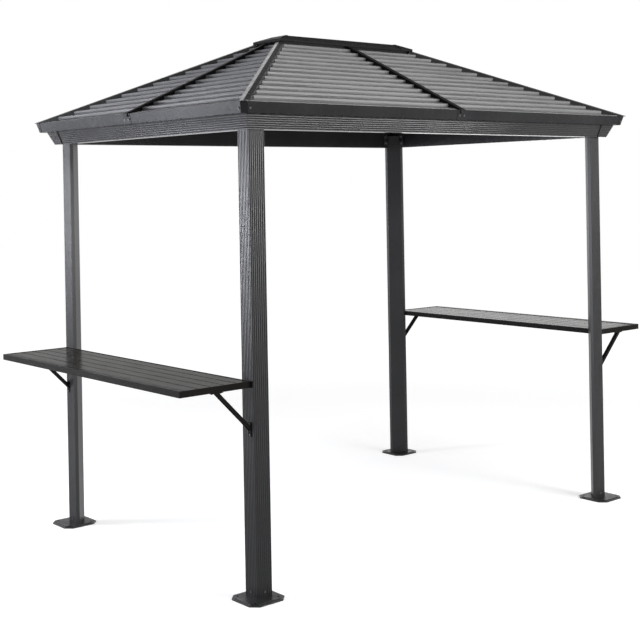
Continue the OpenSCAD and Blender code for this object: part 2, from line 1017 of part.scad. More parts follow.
// One strut: an open channel at 45 degrees with a fixing plate at each end
module shelf_strut() {
    top = shelf_low - tab_t;
    foot_z = shelf_low - strut_out;
    tall = strut_d * sqrt(2) / 2;
    web = tall - strut_wall * sqrt(2);
    difference() {
        translate([0, strut_w / 2, 0])
            rotate([90, 0, 0])
                linear_extrude(height = strut_w)
                    polygon([
                        [tab_t, foot_z + tab_t - tall],
                        [top - foot_z + tall, top],
                        [top - foot_z - tall, top],
                        [tab_t, foot_z + tab_t + tall]
                    ]);
        translate([0, strut_w / 2 - strut_wall, 0])
            rotate([90, 0, 0])
                linear_extrude(height = strut_w - 2 * strut_wall)
                    polygon([
                        [tab_t, foot_z + tab_t - tall - cut],
                        [tab_t + cut + 2 * tall, foot_z + tab_t - tall - cut],
                        [top - foot_z + tall + cut, top - 2 * tall],
                        [top - foot_z + tall + cut, top],
                        [top - foot_z - web, top],
                        [tab_t, foot_z + tab_t + web]
                    ]);
    }
    box([0, -strut_w / 2, foot_z - tab_l / 2], [tab_t, strut_w / 2, foot_z + tab_l / 2]);
    box([top - foot_z - tab_l / 2, -strut_w / 2, top], [top - foot_z + tab_l / 2, strut_w / 2, shelf_low]);
}

// The angle clip between the shelf's end and the post's face
module shelf_clip() {
    half = shelf_l / 2;
    prism([
        [0, half], [clip_leg, half], [clip_leg, half + clip_t],
        [clip_t, half + clip_t], [clip_t, half + clip_leg], [0, half + clip_leg]
    ], shelf_low, shelf_z);
}

module shelf_struts() {
    color(frame_color)
        translate([hx, 0, 0])
            for (s = [-1, 1])
                corner(1, s) {
                    translate([0, strut_y, 0])
                        shelf_strut();
                    shelf_clip();
                }
}

// The whole object

corner(-1, -1) post();  // front_left_post
corner(1, -1) post();  // front_right_post
corner(-1, 1) post();  // back_left_post
corner(1, 1) post();  // back_right_post
corner(-1, -1) foot();  // front_left_foot
corner(1, -1) foot();  // front_right_foot
corner(-1, 1) foot();  // back_left_foot
corner(1, 1) foot();  // back_right_foot
corner(1, -1) long_beam();  // front_beam
corner(1, 1) long_beam();  // back_beam
corner(-1, 1) end_beam();  // left_beam
corner(1, 1) end_beam();  // right_beam
corner(-1, -1) corner_cover();  // front_left_corner_cover
corner(1, -1) corner_cover();  // front_right_corner_cover
corner(-1, 1) corner_cover();  // back_left_corner_cover
corner(1, 1) corner_cover();  // back_right_corner_cover
for (x = [-1, 1], y = [-1, 1])  // corner_brackets
        corner(x, y) corner_bracket();
corner(1, -1) long_fascia();  // front_fascia
corner(1, 1) long_fascia();  // back_fascia
corner(-1, 1) end_fascia();  // left_fascia
corner(1, 1) end_fascia();  // right_fascia
for (x = [-1, 1], y = [-1, 1])  // fascia_corner_caps
        corner(x, y) fascia_corner_cap();
fascia_joint_plates();
corner(1, -1) back_sheets();  // front_roof_sheets
corner(1, 1) back_sheets();  // back_roof_sheets
corner(-1, 1) right_sheets();  // left_roof_sheets
corner(1, 1) right_sheets();  // right_roof_sheets
corner(-1, -1) hip_cap();  // front_left_hip_cap
corner(1, -1) hip_cap();  // front_right_hip_cap
corner(-1, 1) hip_cap();  // back_left_hip_cap
corner(1, 1) hip_cap();  // back_right_hip_cap
rib_caps();
hip_rafters();
middle_rafters();
ridge_beam();
ridge_cap();
ridge_end_caps();
corner(-1, 1) shelf_frame();  // left_shelf_frame
corner(1, 1) shelf_frame();  // right_shelf_frame
corner(-1, 1) shelf_slats();  // left_shelf_slats
corner(1, 1) shelf_slats();  // right_shelf_slats
corner(-1, 1) shelf_struts();  // left_shelf_struts
corner(1, 1) shelf_struts();  // right_shelf_struts
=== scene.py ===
"""Metal gazebo: finishes, fixings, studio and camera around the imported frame.

All lengths are in metres, in the frame of the part: +X along the ridge, +Y to the back, +Z up.
"""

from __future__ import annotations

import logging
import math
from collections.abc import Iterable, Mapping
from dataclasses import dataclass
from enum import Enum

import bpy
from mathutils import Matrix, Vector


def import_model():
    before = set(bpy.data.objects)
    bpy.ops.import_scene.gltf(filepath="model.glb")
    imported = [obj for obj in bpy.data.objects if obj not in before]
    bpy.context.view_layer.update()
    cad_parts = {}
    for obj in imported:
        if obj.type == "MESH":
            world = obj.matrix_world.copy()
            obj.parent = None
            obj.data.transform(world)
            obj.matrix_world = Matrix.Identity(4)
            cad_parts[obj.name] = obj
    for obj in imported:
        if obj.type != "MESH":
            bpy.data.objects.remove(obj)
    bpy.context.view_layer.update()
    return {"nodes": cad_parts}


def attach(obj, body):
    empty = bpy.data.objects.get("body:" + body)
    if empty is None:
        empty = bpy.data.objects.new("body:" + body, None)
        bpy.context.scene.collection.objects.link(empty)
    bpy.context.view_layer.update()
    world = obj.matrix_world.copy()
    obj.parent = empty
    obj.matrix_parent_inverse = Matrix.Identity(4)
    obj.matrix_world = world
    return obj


LOG = logging.getLogger("gazebo")
BODY = "root"

Color = tuple[float, float, float, float]
Triple = tuple[float, float, float]
Span = tuple[float, float]
Socket = bpy.types.NodeSocket
Parts = dict[str, bpy.types.Object]

WHITE: Color = (1.0, 1.0, 1.0, 1.0)
PLAIN_LIGHT: Triple = (1.0, 1.0, 1.0)
COOL_LIGHT: Triple = (0.90, 0.92, 1.0)
EVEN: Triple = (1.0, 1.0, 1.0)
UNIT: Span = (0.0, 1.0)
RECTANGLE = ((-1, -1), (1, -1), (1, 1), (-1, 1))


class Corner(Enum):
    """The four corners, as signs along X and Y."""

    FRONT_LEFT = (-1, -1)
    FRONT_RIGHT = (1, -1)
    BACK_LEFT = (-1, 1)
    BACK_RIGHT = (1, 1)


class Side(Enum):
    """The four sides, as the way that each one faces."""

    FRONT = (0, -1)
    BACK = (0, 1)
    LEFT = (-1, 0)
    RIGHT = (1, 0)


class Run(Enum):
    """The way that a sheet or slat was rolled, as a stretch of its texture."""

    ALONG_X = (0.02, 1.0, 1.0)
    ALONG_Y = (1.0, 0.02, 1.0)


class Curve(Enum):
    """How a value goes from one end of a range to the other."""

    STRAIGHT = "LINEAR"
    SMOOTH = "SMOOTHSTEP"


def grey(level: float, blue: float) -> Color:
    """Give a grey that has its own value for blue."""
    return (level, level, blue, 1.0)


def each(places: type[Enum], ending: str) -> list[str]:
    """Name the node of each corner or side that has an ending."""
    return [f"{place.name.lower()}_{ending}" for place in places]


def add_object(name: str, data: bpy.types.ID) -> bpy.types.Object:
    """Put new data in the scene as an object at the origin.

    Args:
        name: the object's name.
        data: a mesh, a light or a camera.

    Returns:
        The new object.
    """
    made = bpy.data.objects.new(name, data)
    bpy.context.scene.collection.objects.link(made)
    return made


def seat(piece: bpy.types.Object) -> None:
    """Let a piece ride on the frame's body."""
    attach(piece, BODY)


class NodeMaker:
    """Adds nodes to a tree, with their options set and their inputs linked or set."""

    def __init__(self, tree: bpy.types.NodeTree) -> None:
        """Take a tree and empty it."""
        self.tree = tree
        self.tree.nodes.clear()

    def feed(self, end: Socket, value: object) -> None:
        """Link an output to an input, or set the input.

        Args:
            end: the input.
            value: an output or a plain value.
        """
        if isinstance(value, Socket):
            self.tree.links.new(value, end)
        else:
            end.default_value = value

    def node(
        self,
        kind: str,
        inputs: Mapping[str | int, object] | None = None,
        **options: object,
    ) -> bpy.types.Node:
        """Add a node.

        Args:
            kind: the node's type.
            inputs: outputs to link or values to set, by the input's name or number.
            options: the node's own options, such as its operation.

        Returns:
            The new node.
        """
        made = self.tree.nodes.new(kind)
        for name, option in options.items():
            setattr(made, name, option)
        for key, value in (inputs or {}).items():
            self.feed(made.inputs[key], value)
        return made

    def combine(self, operation: str, first: object, second: object) -> Socket:
        """Work out one value from two."""
        return self.node("ShaderNodeMath", {0: first, 1: second}, operation=operation).outputs["Value"]

    def spread(
        self,
        value: Socket,
        to: Span,
        start: Span = (0.35, 0.65),
        curve: Curve = Curve.STRAIGHT,
    ) -> Socket:
        """Spread a value over a range.

        Args:
            value: the value to spread.
            to: the results at the two ends.
            start: the values taken in at the two ends.
            curve: how it goes between them.

        Returns:
            The spread value.
        """
        inputs = {
            "Value": value,
            "From Min": start[0],
            "From Max": start[1],
            "To Min": to[0],
            "To Max": to[1],
        }
        return self.node("ShaderNodeMapRange", inputs, interpolation_type=curve.value).outputs["Result"]


class Coating(NodeMaker):
    """One material's tree: its shader, Object coordinates and the parts that the finishes share."""

    BEVEL_SAMPLES = 4
    INNER_REACH: Span = (-0.3, -0.2)
    MIX_SHARE, MIX_LOW, MIX_HIGH = 0, 6, 7
    MIX_COLOR = 2

    def __init__(self, name: str) -> None:
        """Make a material with a shader and Object coordinates.

        Args:
            name: the material's name.
        """
        self.material = bpy.data.materials.new(name)
        self.material.use_nodes = True
        super().__init__(self.material.node_tree)
        self.shader = self.node("ShaderNodeBsdfPrincipled")
        self.node("ShaderNodeOutputMaterial", {"Surface": self.shader.outputs["BSDF"]})
        self.place = self.node("ShaderNodeTexCoord").outputs["Object"]

    def coat(self, inputs: Mapping[str, object]) -> bpy.types.Material:
        """Link or set the shader's inputs.

        Args:
            inputs: outputs to link or constant values to set, by the input's name.

        Returns:
            The material.
        """
        for name, value in inputs.items():
            self.feed(self.shader.inputs[name], value)
        return self.material

    def noise(self, scale: float, detail: float, stretch: Triple = EVEN) -> Socket:
        """Add noise in Object coordinates.

        Args:
            scale: the noise's scale per metre.
            detail: the number of finer layers.
            stretch: a factor on each axis, small where the grain runs long.

        Returns:
            The noise's value.
        """
        grid = self.node("ShaderNodeMapping", {"Vector": self.place, "Scale": stretch}).outputs["Vector"]
        inputs = {"Vector": grid, "Scale": scale, "Detail": detail}
        return self.node("ShaderNodeTexNoise", inputs).outputs["Fac"]

    def blend(self, share: Socket, low: Color | Socket, high: Color | Socket) -> Socket:
        """Blend two colours.

        Args:
            share: 0 for the low colour and 1 for the high one.
            low: a colour or a colour output.
            high: a colour or a colour output.

        Returns:
            The blended colour.
        """
        inputs = {self.MIX_SHARE: share, self.MIX_LOW: low, self.MIX_HIGH: high}
        return self.node("ShaderNodeMix", inputs, data_type="RGBA").outputs[self.MIX_COLOR]

    def rounded(self, radius: float) -> Socket:
        """Soften the sharp edges to a radius, as a normal."""
        bevel = self.node("ShaderNodeBevel", {"Radius": radius}, samples=self.BEVEL_SAMPLES)
        return bevel.outputs["Normal"]

    def along_normal(self, vector: Socket) -> Socket:
        """Measure a vector along the face's own normal."""
        face = self.node("ShaderNodeNewGeometry").outputs["Normal"]
        dot = self.node("ShaderNodeVectorMath", {0: vector, 1: face}, operation="DOT_PRODUCT")
        return dot.outputs["Value"]

    def edges(self, normal: Socket, reach: Span) -> Socket:
        """Give 1 on an edge, where the softened normal leaves the face's own, and 0 on a flat face."""
        return self.spread(self.along_normal(normal), (1.0, 0.0), reach)

    def inward(self) -> Socket:
        """Give 1 on a face that looks to the object's upright middle axis, and 0 on an outer one."""
        flat = self.node("ShaderNodeMapping", {"Vector": self.place, "Scale": (1.0, 1.0, 0.0)})
        return self.spread(self.along_normal(flat.outputs["Vector"]), (1.0, 0.0), self.INNER_REACH)

    def bump(self, height: Socket, depth: float, strength: float, normal: Socket | None = None) -> Socket:
        """Raise the surface by a height.

        Args:
            height: the height's value, 0 to 1.
            depth: the height in metres at 1.
            strength: how much of it shows.
            normal: the normal that it starts from.

        Returns:
            The bumped normal.
        """
        inputs = {"Height": height, "Distance": depth, "Strength": strength}
        if normal is not None:
            inputs["Normal"] = normal
        return self.node("ShaderNodeBump", inputs).outputs["Normal"]


@dataclass(frozen=True)
class PowderCoat:
    """Charcoal powder coat: orange peel, slow changes of tone, and lighter edges that are partly rubbed
    wear and partly a painted highlight.
    """

    name: str
    roughness: Span
    dark: Color = grey(0.012, 0.013)
    light: Color = grey(0.018, 0.019)
    # Edge colour: partly rubbed wear, partly a painted highlight along the edges.
    edge_highlight_and_wear: Color = grey(0.060, 0.063)
    specular: float = 0.30
    edge_radius: float = 0.0012
    edge_reach: Span = (0.78, 0.97)
    tone_scale: float = 2.4
    edge_mark_scale: float = 60.0
    edge_mark_share: Span = (0.15, 0.55)
    gloss_scale: float = 38.0
    peel_scale: float = 620.0
    peel_depth: float = 0.00005
    peel_strength: float = 0.5
    inner_roughness: float = 0.0

    def material(self) -> bpy.types.Material:
        """Build the finish.

        Returns:
            The material.
        """
        tree = Coating(self.name)
        soft = tree.rounded(self.edge_radius)
        tone = tree.spread(tree.noise(self.tone_scale, detail=4.0), UNIT)
        edge_mark_patches = tree.spread(tree.noise(self.edge_mark_scale, detail=3.0), self.edge_mark_share)
        # Lighter edges, broken up in patches: partly rubbed wear, partly a painted highlight along the
        # edges.
        edge_highlight_and_wear_mask = tree.combine("MULTIPLY", tree.edges(soft, self.edge_reach), edge_mark_patches)
        rough = tree.spread(tree.noise(self.gloss_scale, detail=5.0), self.roughness)
        if self.inner_roughness > 0.0:
            inner = tree.spread(tree.inward(), (0.0, self.inner_roughness), UNIT)
            rough = tree.combine("MAXIMUM", rough, inner)
        peel = tree.noise(self.peel_scale, detail=2.0)
        return tree.coat(
            {
                "Base Color": tree.blend(edge_highlight_and_wear_mask, tree.blend(tone, self.dark, self.light), self.edge_highlight_and_wear),
                "Roughness": rough,
                "Specular IOR Level": self.specular,
                "Normal": tree.bump(peel, self.peel_depth, self.peel_strength, soft),
            }
        )


@dataclass(frozen=True)
class RolledSheet:
    """Grey coat on the stepped roof sheets, with a fine grain rolled along the courses."""

    name: str
    run: Run
    dark: Color = grey(0.080, 0.082)
    light: Color = grey(0.160, 0.162)
    roughness: Span = (0.34, 0.52)
    specular: float = 0.36
    streak_scale: float = 110.0
    grain_scale: float = 260.0
    grain_depth: float = 0.0005
    grain_strength: float = 0.7
    fleck: Span = (0.0, 0.6)
    fleck_reach: Span = (0.45, 0.75)
    edge_radius: float = 0.0010

    def material(self) -> bpy.types.Material:
        """Build the finish.

        Returns:
            The material.
        """
        tree = Coating(self.name)
        soft = tree.rounded(self.edge_radius)
        grain = tree.noise(self.grain_scale, 4.0, self.run.value)
        streak = tree.noise(self.streak_scale, 3.0, self.run.value)
        tone = tree.blend(tree.spread(streak, UNIT), self.dark, self.light)
        fleck = tree.spread(grain, self.fleck, self.fleck_reach)
        return tree.coat(
            {
                "Base Color": tree.blend(fleck, tone, self.light),
                "Roughness": tree.spread(streak, self.roughness),
                "Specular IOR Level": self.specular,
                "Normal": tree.bump(grain, self.grain_depth, self.grain_strength, soft),
            }
        )


@dataclass(frozen=True)
class SatinSlat:
    """Satin grey-brown coat on the shelf slats, with faint lines from the extrusion."""

    name: str = "satin_slat_coat"
    dark: Color = (0.022, 0.0195, 0.0168, 1.0)
    light: Color = (0.036, 0.0320, 0.0280, 1.0)
    roughness: Span = (0.16, 0.26)
    specular: float = 0.007
    tint: Color = (1.0, 0.94, 0.86, 1.0)
    cloud_scale: float = 7.0
    line_scale: float = 300.0
    line_depth: float = 0.00005
    line_strength: float = 0.5
    edge_radius: float = 0.0050

    def material(self) -> bpy.types.Material:
        """Build the finish.

        Returns:
            The material.
        """
        tree = Coating(self.name)
        soft = tree.rounded(self.edge_radius)
        lines = tree.noise(self.line_scale, 3.0, Run.ALONG_Y.value)
        clouds = tree.spread(tree.noise(self.cloud_scale, detail=4.0), UNIT)
        return tree.coat(
            {
                "Base Color": tree.blend(clouds, self.dark, self.light),
                "Roughness": tree.spread(lines, self.roughness),
                "Specular IOR Level": self.specular,
                "Specular Tint": self.tint,
                "Normal": tree.bump(lines, self.line_depth, self.line_strength, soft),
            }
        )


@dataclass(frozen=True)
class ScrewMetal:
    """Blackened steel of the screws and bolts, with fine scratches."""

    name: str = "blackened_steel"
    dark: Color = grey(0.030, 0.032)
    light: Color = grey(0.090, 0.092)
    roughness: Span = (0.42, 0.58)
    metallic: float = 0.3
    stain_scale: float = 900.0
    stain_depth: float = 0.00004
    stain_strength: float = 0.4
    scratch_scale: float = 1600.0

    def material(self) -> bpy.types.Material:
        """Build the finish.

        Returns:
            The material.
        """
        tree = Coating(self.name)
        stain = tree.noise(self.stain_scale, detail=4.0)
        scratch = tree.noise(self.scratch_scale, detail=2.0)
        return tree.coat(
            {
                "Base Color": tree.blend(tree.spread(stain, UNIT), self.dark, self.light),
                "Roughness": tree.spread(scratch, self.roughness),
                "Metallic": self.metallic,
                "Normal": tree.bump(stain, self.stain_depth, self.stain_strength),
            }
        )


@dataclass(frozen=True)
class Finishes:
    """Every material of the object."""

    coat: bpy.types.Material
    trim_coat: bpy.types.Material
    shelf_coat: bpy.types.Material
    cap_coat: bpy.types.Material
    ridge_coat: bpy.types.Material
    beam_coat: bpy.types.Material
    fluted_coat: bpy.types.Material
    long_sheet: bpy.types.Material
    end_sheet_shaded: bpy.types.Material
    slat: bpy.types.Material
    screw: bpy.types.Material

    @classmethod
    def make(cls) -> Finishes:
        """Build each finish once.

        Returns:
            The set of materials.
        """
        black = {"dark": grey(0.006, 0.0065), "light": grey(0.010, 0.0105)}
        crisp = {"edge_radius": 0.0001, "peel_depth": 0.00001}
        recipes = {
            "coat": PowderCoat("charcoal_powder_coat", (0.34, 0.44)),
            "trim_coat": PowderCoat(
                "trim_powder_coat", (0.22, 0.30), grey(0.018, 0.019), grey(0.026, 0.027), specular=0.03
            ),
            "shelf_coat": PowderCoat(
                "shelf_powder_coat",
                (0.30, 0.38),
                (0.0070, 0.0065, 0.0060, 1.0),
                (0.0105, 0.0098, 0.0090, 1.0),
                # Edge colour: partly rubbed wear, partly a painted highlight along the edges.
                (0.024, 0.023, 0.022, 1.0),
                specular=0.02,
                edge_radius=0.0008,
            ),
            "cap_coat": PowderCoat("black_cap_coat", (0.20, 0.28), **black),
            "ridge_coat": PowderCoat("matt_ridge_coat", (0.42, 0.52), **black, specular=0.06),
            "beam_coat": PowderCoat(
                "beam_powder_coat",
                (0.16, 0.22),
                grey(0.016, 0.017),
                grey(0.024, 0.025),
                specular=0.08,
                **crisp,
            ),
            "fluted_coat": PowderCoat(
                "fluted_powder_coat",
                (0.34, 0.40),
                grey(0.010, 0.011),
                grey(0.016, 0.017),
                specular=0.28,
                inner_roughness=0.42,
                **crisp,
            ),
            "long_sheet": RolledSheet("roof_sheet_along_ridge", Run.ALONG_X),
            # The end slopes take a darker, less glossy copy of the same sheet coat: painted shade.
            "end_sheet_shaded": RolledSheet(
                "roof_sheet_across_ridge_shaded_darker",
                Run.ALONG_Y,
                grey(0.046, 0.047),
                grey(0.090, 0.092),
                specular=0.24,
            ),
            "slat": SatinSlat(),
            "screw": ScrewMetal(),
        }
        return cls(**{use: recipe.material() for use, recipe in recipes.items()})


@dataclass(frozen=True)
class Fixing:
    """One screw or bolt: the point on the surface and the way that its head faces."""

    at: Triple
    facing: Triple


@dataclass(frozen=True)
class Head:
    """Sizes of a screw or bolt head."""

    sides: int
    radius: float
    height: float
    flange_radius: float
    flange_height: float
    crown: float
    socket_radius: float = 0.0
    socket_depth: float = 0.0


class HeadForm(Enum):
    """The kinds of head on the object."""

    PAN_SCREW = Head(14, 0.0046, 0.0016, 0.0048, 0.0005, 0.0009, 0.0017, 0.0014)
    BOLT = Head(6, 0.0068, 0.0046, 0.0098, 0.0016, 0.0011)


class FixingTree(NodeMaker):
    """The geometry tree that puts a head on each marked point, square to its surface."""

    SIZES = (
        ("Head radius", "radius"),
        ("Head height", "height"),
        ("Flange radius", "flange_radius"),
        ("Flange height", "flange_height"),
        ("Crown height", "crown"),
        ("Socket radius", "socket_radius"),
        ("Socket depth", "socket_depth"),
    )
    FACING = "facing"
    FLANGE_SIDES = 14
    FLANGE_SHARE = 0.90
    CROWN_SHARE = 0.78
    SOCKET_SIDES = 6
    TURN_SEED = 7
    RANDOM_MAX = 3
    RANDOM_FLOAT = 1

    def __init__(self) -> None:
        """Build the tree with a named input for each size."""
        super().__init__(bpy.data.node_groups.new("fixing_heads", "GeometryNodeTree"))
        self.inputs: dict[str, str] = {}
        self._socket("Geometry", "NodeSocketGeometry")
        self._socket("Sides", "NodeSocketInt")
        for name, _ in self.SIZES:
            self._socket(name, "NodeSocketFloat")
        self._socket("Turn seed", "NodeSocketInt")
        self._socket("Finish", "NodeSocketMaterial")
        self.tree.interface.new_socket(name="Geometry", in_out="OUTPUT", socket_type="NodeSocketGeometry")
        self.given = self.node("NodeGroupInput").outputs
        self._place(self._head())

    def _socket(self, name: str, kind: str) -> None:
        """Add a named input to the tree and keep its identifier."""
        made = self.tree.interface.new_socket(name=name, in_out="INPUT", socket_type=kind)
        self.inputs[name] = made.identifier

    def _lift(self, mesh: Socket, up: Socket) -> Socket:
        """Move a mesh up its own axis."""
        offset = self.node("ShaderNodeCombineXYZ", {"Z": up}).outputs[0]
        return self.node("GeometryNodeTransform", {"Geometry": mesh, "Translation": offset}).outputs[0]

    def _cone(self, sides: int | Socket, low: Socket, high: Socket, depth: Socket) -> Socket:
        """Add a closed frustum that stands on its lower end."""
        inputs = {"Vertices": sides, "Radius Bottom": low, "Radius Top": high, "Depth": depth}
        return self.node("GeometryNodeMeshCone", inputs).outputs["Mesh"]

    def _head(self) -> Socket:
        """Build one head: flange, body, crown and the socket sunk in it.

        Returns:
            The head's mesh.
        """
        sides, radius, tall, flange, low, crown, socket, depth = (
            self.given[name] for name in ("Sides", *(size for size, _ in self.SIZES))
        )
        flange_top = self.combine("MULTIPLY", flange, self.FLANGE_SHARE)
        plate = self._cone(self.FLANGE_SIDES, flange, flange_top, low)
        body = self._lift(self._cone(sides, radius, radius, tall), low)
        top = self.combine("ADD", low, tall)
        crown_radius = self.combine("MULTIPLY", radius, self.CROWN_SHARE)
        cap = self._lift(self._cone(sides, radius, crown_radius, crown), top)
        joined = self.node("GeometryNodeJoinGeometry")
        for mesh in (cap, body, plate):
            self.feed(joined.inputs[0], mesh)
        solid = joined.outputs[0]
        floor = self.combine("SUBTRACT", self.combine("ADD", top, crown), depth)
        key = self._cone(self.SOCKET_SIDES, socket, socket, self.combine("MULTIPLY", depth, 2.0))
        tools = {"Mesh 1": solid, "Mesh 2": self._lift(key, floor)}
        cut = self.node("GeometryNodeMeshBoolean", tools, operation="DIFFERENCE").outputs["Mesh"]
        sunk = self.node("FunctionNodeCompare", {0: socket}, operation="GREATER_THAN").outputs[0]
        choice = {"Switch": sunk, "False": solid, "True": cut}
        return self.node("GeometryNodeSwitch", choice, input_type="GEOMETRY").outputs[0]

    def _place(self, head: Socket) -> None:
        """Put the head on every point and make one mesh of all.

        Args:
            head: the head's mesh.
        """
        name = {"Name": self.FACING}
        facing = self.node("GeometryNodeInputNamedAttribute", name, data_type="FLOAT_VECTOR")
        towards = {"Vector": facing.outputs["Attribute"]}
        align = self.node("FunctionNodeAlignRotationToVector", towards, axis="Z")
        draw = {self.RANDOM_MAX: math.tau, "Seed": self.given["Turn seed"]}
        turn = self.node("FunctionNodeRandomValue", draw, data_type="FLOAT").outputs[self.RANDOM_FLOAT]
        spin = self.node("FunctionNodeAxisAngleToRotation", {"Axis": (0.0, 0.0, 1.0), "Angle": turn})
        turns = {"Rotation": align.outputs[0], "Rotate By": spin.outputs[0]}
        rotation = self.node("FunctionNodeRotateRotation", turns, rotation_space="LOCAL").outputs[0]
        places = {"Points": self.given["Geometry"], "Instance": head, "Rotation": rotation}
        put = self.node("GeometryNodeInstanceOnPoints", places).outputs[0]
        real = self.node("GeometryNodeRealizeInstances", {"Geometry": put}).outputs[0]
        dressed = {"Geometry": real, "Material": self.given["Finish"]}
        finish = self.node("GeometryNodeSetMaterial", dressed).outputs[0]
        self.node("NodeGroupOutput", {"Geometry": finish})

    def fit(
        self,
        name: str,
        fixings: list[Fixing],
        form: HeadForm,
        finish: bpy.types.Material,
    ) -> bpy.types.Object:
        """Make one piece of all the fixings of a kind.

        Args:
            name: the piece's name.
            fixings: where each head sits and faces.
            form: the kind of head.
            finish: the heads' material.

        Returns:
            The piece, as a plain mesh at the origin.
        """
        points = bpy.data.meshes.new(name)
        points.from_pydata([fixing.at for fixing in fixings], [], [])
        facing = points.attributes.new(self.FACING, "FLOAT_VECTOR", "POINT")
        for row, fixing in zip(facing.data, fixings):
            row.vector = Vector(fixing.facing).normalized()
        piece = add_object(name, points)
        modifier = piece.modifiers.new("fixing_heads", "NODES")
        modifier.node_group = self.tree
        modifier[self.inputs["Sides"]] = form.value.sides
        for label, attribute in self.SIZES:
            modifier[self.inputs[label]] = getattr(form.value, attribute)
        modifier[self.inputs["Turn seed"]] = self.TURN_SEED
        modifier[self.inputs["Finish"]] = finish
        graph = bpy.context.evaluated_depsgraph_get()
        made = bpy.data.meshes.new_from_object(piece.evaluated_get(graph), depsgraph=graph)
        piece.modifiers.clear()
        piece.data = made
        made.name = name
        bpy.data.meshes.remove(points)
        seat(piece)
        LOG.info("%s: %d heads", name, len(fixings))
        return piece


def paint(nodes: Parts, names: Iterable[str], finish: bpy.types.Material) -> None:
    """Give CAD nodes a finish.

    Args:
        nodes: the frame's nodes.
        names: the nodes to dress.
        finish: their material.
    """
    for name in names:
        piece = nodes[name]
        if not piece.material_slots:
            piece.data.materials.append(finish)
        for slot in piece.material_slots:
            slot.material = finish
        LOG.info("%s: %s", name, finish.name)


@dataclass
class PostBay:
    """The bay inside the posts' outer faces, as half its length and half its width."""

    half_length: float = 1.127
    half_width: float = 0.762


@dataclass
class PostSet(PostBay):
    """The four corner posts and their foot plates."""

    pad_top: float = 0.009
    screw_in: float = 0.038
    screw_rise: float = 0.018

    def dress(self, nodes: Parts, finishes: Finishes) -> None:
        """Coat the posts and the plates."""
        paint(nodes, each(Corner, "post"), finishes.fluted_coat)
        paint(nodes, each(Corner, "foot"), finishes.coat)

    def foot_screws(self) -> list[Fixing]:
        """List the screws that hold each post to its foot, one on each outer face.

        Returns:
            The screws.
        """
        screws = []
        z = self.pad_top + self.screw_rise
        for corner in Corner:
            x, y = corner.value
            at_end = (x * self.half_length, y * (self.half_width - self.screw_in), z)
            at_side = (x * (self.half_length - self.screw_in), y * self.half_width, z)
            screws.append(Fixing(at_end, (x, 0, 0)))
            screws.append(Fixing(at_side, (0, y, 0)))
        return screws

    def build(self, heads: FixingTree, finishes: Finishes) -> None:
        """Add the screws at the feet."""
        heads.fit("post_foot_screws", self.foot_screws(), HeadForm.PAN_SCREW, finishes.screw)


@dataclass
class BeamRing(PostBay):
    """The four ring beams, the covers over their corners and the brackets inside them."""

    beam_z: float = 1.858
    bracket_in: float = 0.028
    bolt_along: float = 0.093
    bolt_rises: Span = (0.030, 0.066)

    def dress(self, nodes: Parts, finishes: Finishes) -> None:
        """Coat the beams, covers and brackets."""
        paint(nodes, [*each(Side, "beam"), *each(Corner, "corner_cover")], finishes.beam_coat)
        paint(nodes, ["corner_brackets"], finishes.coat)

    def bracket_bolts(self) -> list[Fixing]:
        """List the bolts on the brackets beside the posts' heads, two on each.

        Returns:
            The bolts.
        """
        bolts = []
        plate_x = self.half_length - self.bracket_in
        plate_y = self.half_width - self.bracket_in
        bolt_x = self.half_length - self.bolt_along
        bolt_y = self.half_width - self.bolt_along
        for corner in Corner:
            x, y = corner.value
            for rise in self.bolt_rises:
                z = self.beam_z + rise
                bolts.append(Fixing((x * plate_x, y * bolt_y, z), (-x, 0, 0)))
                bolts.append(Fixing((x * bolt_x, y * plate_y, z), (0, -y, 0)))
        return bolts

    def build(self, heads: FixingTree, finishes: Finishes) -> None:
        """Add the bolts inside the corners."""
        heads.fit("corner_bracket_bolts", self.bracket_bolts(), HeadForm.BOLT, finishes.screw)


@dataclass
class FasciaRing(PostBay):
    """The four fascias with their joint plates and corner caps."""

    low_z: float = 1.918
    high_z: float = 1.962
    low_out: float = 0.0865
    high_out: float = 0.0985
    screw_share: float = 0.42
    plate_step: float = 0.015
    cap_step: float = 0.038

    def dress(self, nodes: Parts, finishes: Finishes) -> None:
        """Coat the fascias, plates and caps."""
        trims = [*each(Side, "fascia"), "fascia_corner_caps", "fascia_joint_plates"]
        paint(nodes, trims, finishes.trim_coat)

    def screws(self) -> list[Fixing]:
        """List the screws on the joint plates and on the corner caps.

        Returns:
            The screws.
        """
        screws = []
        rise = self.high_z - self.low_z
        lean = self.high_out - self.low_out
        z = self.low_z + self.screw_share * rise
        out = self.low_out + self.screw_share * lean
        reach_x = self.half_length + self.high_out - self.cap_step
        reach_y = self.half_width + self.high_out - self.cap_step
        for side in Side:
            x, y = side.value
            reach = reach_x if x == 0 else reach_y
            for along in (-reach, -self.plate_step, self.plate_step, reach):
                if x == 0:
                    at = (along, y * (self.half_width + out), z)
                else:
                    at = (x * (self.half_length + out), along, z)
                screws.append(Fixing(at, (x, y, -lean / rise)))
        return screws

    def build(self, heads: FixingTree, finishes: Finishes) -> None:
        """Add the screws on the plates and caps."""
        heads.fit("fascia_screws", self.screws(), HeadForm.PAN_SCREW, finishes.screw)


